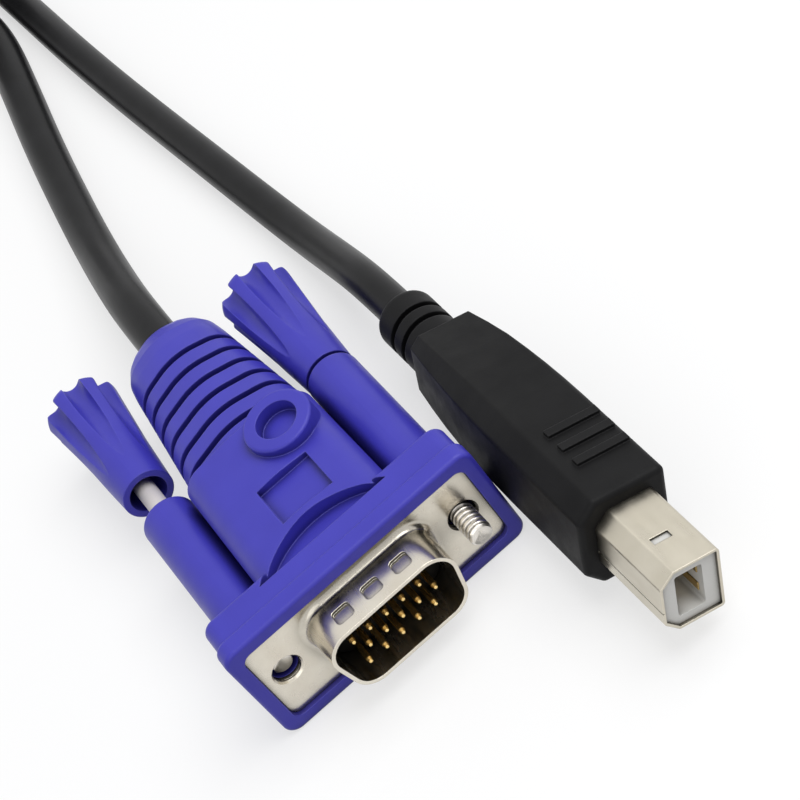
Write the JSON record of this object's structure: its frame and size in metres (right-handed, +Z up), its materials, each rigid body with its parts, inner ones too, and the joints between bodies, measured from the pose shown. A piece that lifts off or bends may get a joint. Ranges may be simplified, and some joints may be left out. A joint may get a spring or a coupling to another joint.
{
  "type": "kvm cable",
  "caption": "Two-in-one switch cable: moulded video plug with thumbscrews and square data plug on separate cords, the rest put away in a tied hank with its far plugs.",
  "frame": {"origin": "centre of the near video plug's metal mating face", "axes": "+Y from the mating face towards the cord, +Z up from the surface it lies on, +X to the right seen from the mating side"},
  "size_m": [0.0508, 0.4049, 0.0324],
  "materials": {
    "violet_plastic": "satin moulded",
    "plated_steel": "bright nickel plate",
    "screw_steel": "plated",
    "black_plastic": "matte",
    "gold_plate": "gold plate",
    "clear_mould": "matte",
    "black_mould": "satin moulded",
    "white_plastic": "semi-gloss",
    "cord_jacket": "matte",
    "tie_strap": "matte"
  },
  "bodies": {
    "cable": {"near_video_hood": "violet_plastic", "near_video_front_shell": "plated_steel", "near_video_rear_shell": "plated_steel", "near_video_insulator": "black_plastic", "near_video_pins": "gold_plate", "near_video_inner_mould": "clear_mould", "near_video_lead_in": "cord_jacket", "near_data_overmould": "black_mould", "near_data_shell": "plated_steel", "near_data_insulator": "white_plastic", "near_data_contacts": "gold_plate", "near_data_inner_mould": "clear_mould", "near_data_lead_in": "cord_jacket", "far_video_hood": "violet_plastic", "far_video_front_shell": "plated_steel", "far_video_rear_shell": "plated_steel", "far_video_insulator": "black_plastic", "far_video_pins": "gold_plate", "far_video_inner_mould": "clear_mould", "far_video_lead_in": "cord_jacket", "far_data_overmould": "black_mould", "far_data_shell": "plated_steel", "far_data_insulator": "white_plastic", "far_data_contacts": "gold_plate", "far_data_inner_mould": "clear_mould", "far_data_lead_in": "cord_jacket", "video_cord": "cord_jacket", "video_cord_end": "cord_jacket", "data_cord": "cord_jacket", "data_cord_end": "cord_jacket", "video_hank": "cord_jacket", "data_hank": "cord_jacket", "hank_tie": "tie_strap"},
    "near_left_screw": {"near_video_left_screw": "screw_steel"},
    "near_left_knob": {"near_video_left_knob": "violet_plastic"},
    "near_right_screw": {"near_video_right_screw": "screw_steel"},
    "near_right_knob": {"near_video_right_knob": "violet_plastic"},
    "far_left_screw": {"far_video_left_screw": "screw_steel"},
    "far_left_knob": {"far_video_left_knob": "violet_plastic"},
    "far_right_screw": {"far_video_right_screw": "screw_steel"},
    "far_right_knob": {"far_video_right_knob": "violet_plastic"}
  },
  "joints": [
    {"name": "near_left_screw_slide", "type": "slide", "parent": "cable", "child": "near_left_screw", "axis": [0, 1, 0], "range_m": [-0.0052, 0]},
    {"name": "near_left_knob_turn", "type": "hinge", "parent": "near_left_screw", "child": "near_left_knob", "pos_m": [-0.01249, 0.0456, 0], "axis": [0, 1, 0], "continuous": true},
    {"name": "near_right_screw_slide", "type": "slide", "parent": "cable", "child": "near_right_screw", "axis": [0, 1, 0], "range_m": [0, 0.0052]},
    {"name": "near_right_knob_turn", "type": "hinge", "parent": "near_right_screw", "child": "near_right_knob", "pos_m": [0.01249, 0.0404, 0], "axis": [0, 1, 0], "continuous": true},
    {"name": "far_left_screw_slide", "type": "slide", "parent": "cable", "child": "far_left_screw", "axis": [0, -1, 0], "range_m": [0, 0.0052]},
    {"name": "far_left_knob_turn", "type": "hinge", "parent": "far_left_screw", "child": "far_left_knob", "pos_m": [0.01249, 0.3306, 0], "axis": [0, -1, 0], "continuous": true},
    {"name": "far_right_screw_slide", "type": "slide", "parent": "cable", "child": "far_right_screw", "axis": [0, -1, 0], "range_m": [0, 0.0052]},
    {"name": "far_right_knob_turn", "type": "hinge", "parent": "far_right_screw", "child": "far_right_knob", "pos_m": [-0.01249, 0.3306, 0], "axis": [0, -1, 0], "continuous": true}
  ]
}
